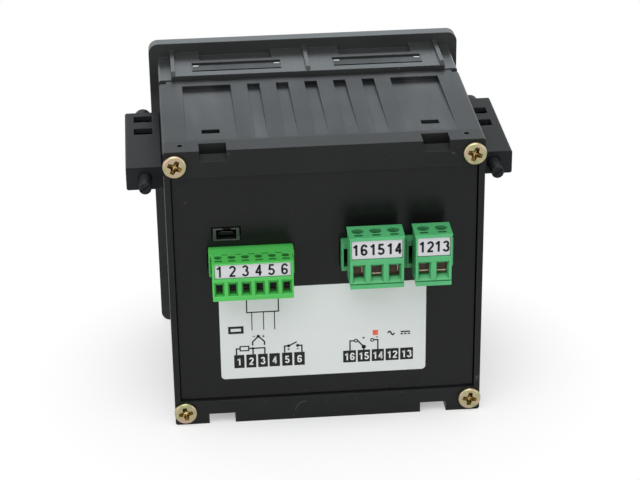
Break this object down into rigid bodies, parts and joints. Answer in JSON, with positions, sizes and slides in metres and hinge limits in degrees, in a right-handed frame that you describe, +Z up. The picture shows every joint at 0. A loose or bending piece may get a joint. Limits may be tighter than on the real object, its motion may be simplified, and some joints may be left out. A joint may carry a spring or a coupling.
{
  "type": "temperature controller",
  "caption": "Square panel-mounting temperature controller: slim bezel with display and keys, deep black case, plug-in terminal blocks at the rear and a sliding screw clamp on each side.",
  "frame": {"origin": "centre of the panel cut-out, in the plane of the bezel's back face", "axes": "+Y from the display through the panel to the terminals, +Z up, +X to the left as the rear is seen"},
  "size_m": [0.112, 0.091, 0.096],
  "materials": {
    "case_black": "fine satin moulding",
    "smoked_window": "smoked, polished",
    "key_grey": "satin",
    "plunger_tan": "satin",
    "switch_black": "satin",
    "board_green": "solder mask over glass laminate",
    "digit_dark": "smooth",
    "light_red": "clear bar",
    "label_pale": "printed film",
    "strip_white": "printed card",
    "yellow_zinc": "yellow passivated zinc",
    "link_black": "moulded",
    "core_grey": "varnished core and coil",
    "relay_blue": "smooth",
    "can_silver": "satin",
    "chip_black": "moulded",
    "socket_steel": "plated",
    "tongue_black": "moulded",
    "signal_green": "semi-gloss moulding",
    "power_green": "semi-gloss moulding",
    "tinned_pin": "tinned",
    "terminal_steel": "plated"
  },
  "bodies": {
    "housing": {"front_bezel": "case_black", "case_sleeve": "case_black", "rear_frame": "case_black", "rear_plate": "case_black", "display_window": "smoked_window", "key_switches": "switch_black", "display_board": "board_green", "main_board": "board_green", "upper_digits": "digit_dark", "lower_digits": "digit_dark", "status_lights": "light_red", "wiring_label": "label_pale", "rear_screws": "yellow_zinc", "board_link": "link_black", "power_transformer": "core_grey", "output_relay": "relay_blue", "smoothing_capacitors": "can_silver", "controller_chip": "chip_black", "usb_shell": "socket_steel", "usb_tongue": "tongue_black", "signal_header": "signal_green", "output_header": "power_green", "supply_header": "power_green", "signal_pins": "tinned_pin", "output_pins": "tinned_pin", "supply_pins": "tinned_pin"},
    "menu_key_body": {"menu_key": "key_grey", "menu_plunger": "plunger_tan"},
    "down_key_body": {"down_key": "key_grey", "down_plunger": "plunger_tan"},
    "up_key_body": {"up_key": "key_grey", "up_plunger": "plunger_tan"},
    "set_key_body": {"set_key": "key_grey", "set_plunger": "plunger_tan"},
    "signal_plug_body": {"signal_plug": "signal_green", "signal_screws": "terminal_steel", "signal_cages": "terminal_steel", "signal_numbers": "strip_white"},
    "output_plug_body": {"output_plug": "power_green", "output_screws": "terminal_steel", "output_cages": "terminal_steel", "output_numbers": "strip_white"},
    "supply_plug_body": {"supply_plug": "power_green", "supply_screws": "terminal_steel", "supply_cages": "terminal_steel", "supply_numbers": "strip_white"},
    "left_clamp_body": {"left_clamp": "case_black"},
    "right_clamp_body": {"right_clamp": "case_black"},
    "left_foot_body": {"left_clamp_foot": "case_black"},
    "right_foot_body": {"right_clamp_foot": "case_black"},
    "left_screw_body": {"left_clamp_screw": "case_black"},
    "right_screw_body": {"right_clamp_screw": "case_black"}
  },
  "joints": [
    {"name": "menu_press", "type": "slide", "parent": "housing", "child": "menu_key_body", "axis": [0, 1, 0], "range_m": [0, 0.0006], "stiffness_N_per_m": 1500, "springref_m": -0.0002},
    {"name": "down_press", "type": "slide", "parent": "housing", "child": "down_key_body", "axis": [0, 1, 0], "range_m": [0, 0.0006], "stiffness_N_per_m": 1500, "springref_m": -0.0002},
    {"name": "up_press", "type": "slide", "parent": "housing", "child": "up_key_body", "axis": [0, 1, 0], "range_m": [0, 0.0006], "stiffness_N_per_m": 1500, "springref_m": -0.0002},
    {"name": "set_press", "type": "slide", "parent": "housing", "child": "set_key_body", "axis": [0, 1, 0], "range_m": [0, 0.0006], "stiffness_N_per_m": 1500, "springref_m": -0.0002},
    {"name": "signal_unplug", "type": "slide", "parent": "housing", "child": "signal_plug_body", "axis": [0, 1, 0], "range_m": [0, 0.0085]},
    {"name": "output_unplug", "type": "slide", "parent": "housing", "child": "output_plug_body", "axis": [0, 1, 0], "range_m": [0, 0.011]},
    {"name": "supply_unplug", "type": "slide", "parent": "housing", "child": "supply_plug_body", "axis": [0, 1, 0], "range_m": [0, 0.011]},
    {"name": "left_clamp_slide", "type": "slide", "parent": "housing", "child": "left_clamp_body", "axis": [0, 1, 0], "range_m": [-0.0044, 0.0115]},
    {"name": "left_foot_advance", "type": "slide", "parent": "left_clamp_body", "child": "left_foot_body", "axis": [0, -1, 0], "range_m": [0, 0.0045]},
    {"name": "left_screw_turn", "type": "hinge", "parent": "left_foot_body", "child": "left_screw_body", "pos_m": [0.05065, 0.04, 0.0286], "axis": [0, -1, 0], "range_deg": [0, 1080]},
    {"name": "right_clamp_slide", "type": "slide", "parent": "housing", "child": "right_clamp_body", "axis": [0, 1, 0], "range_m": [-0.0044, 0.0115]},
    {"name": "right_foot_advance", "type": "slide", "parent": "right_clamp_body", "child": "right_foot_body", "axis": [0, -1, 0], "range_m": [0, 0.0045]},
    {"name": "right_screw_turn", "type": "hinge", "parent": "right_foot_body", "child": "right_screw_body", "pos_m": [-0.05065, 0.04, 0.0286], "axis": [0, -1, 0], "range_deg": [0, 1080]}
  ],
  "couplings": [
    {"joint": "left_screw_turn", "follows": "left_foot_advance", "rad_per_m": 4188.8},
    {"joint": "right_screw_turn", "follows": "right_foot_advance", "rad_per_m": 4188.8}
  ]
}
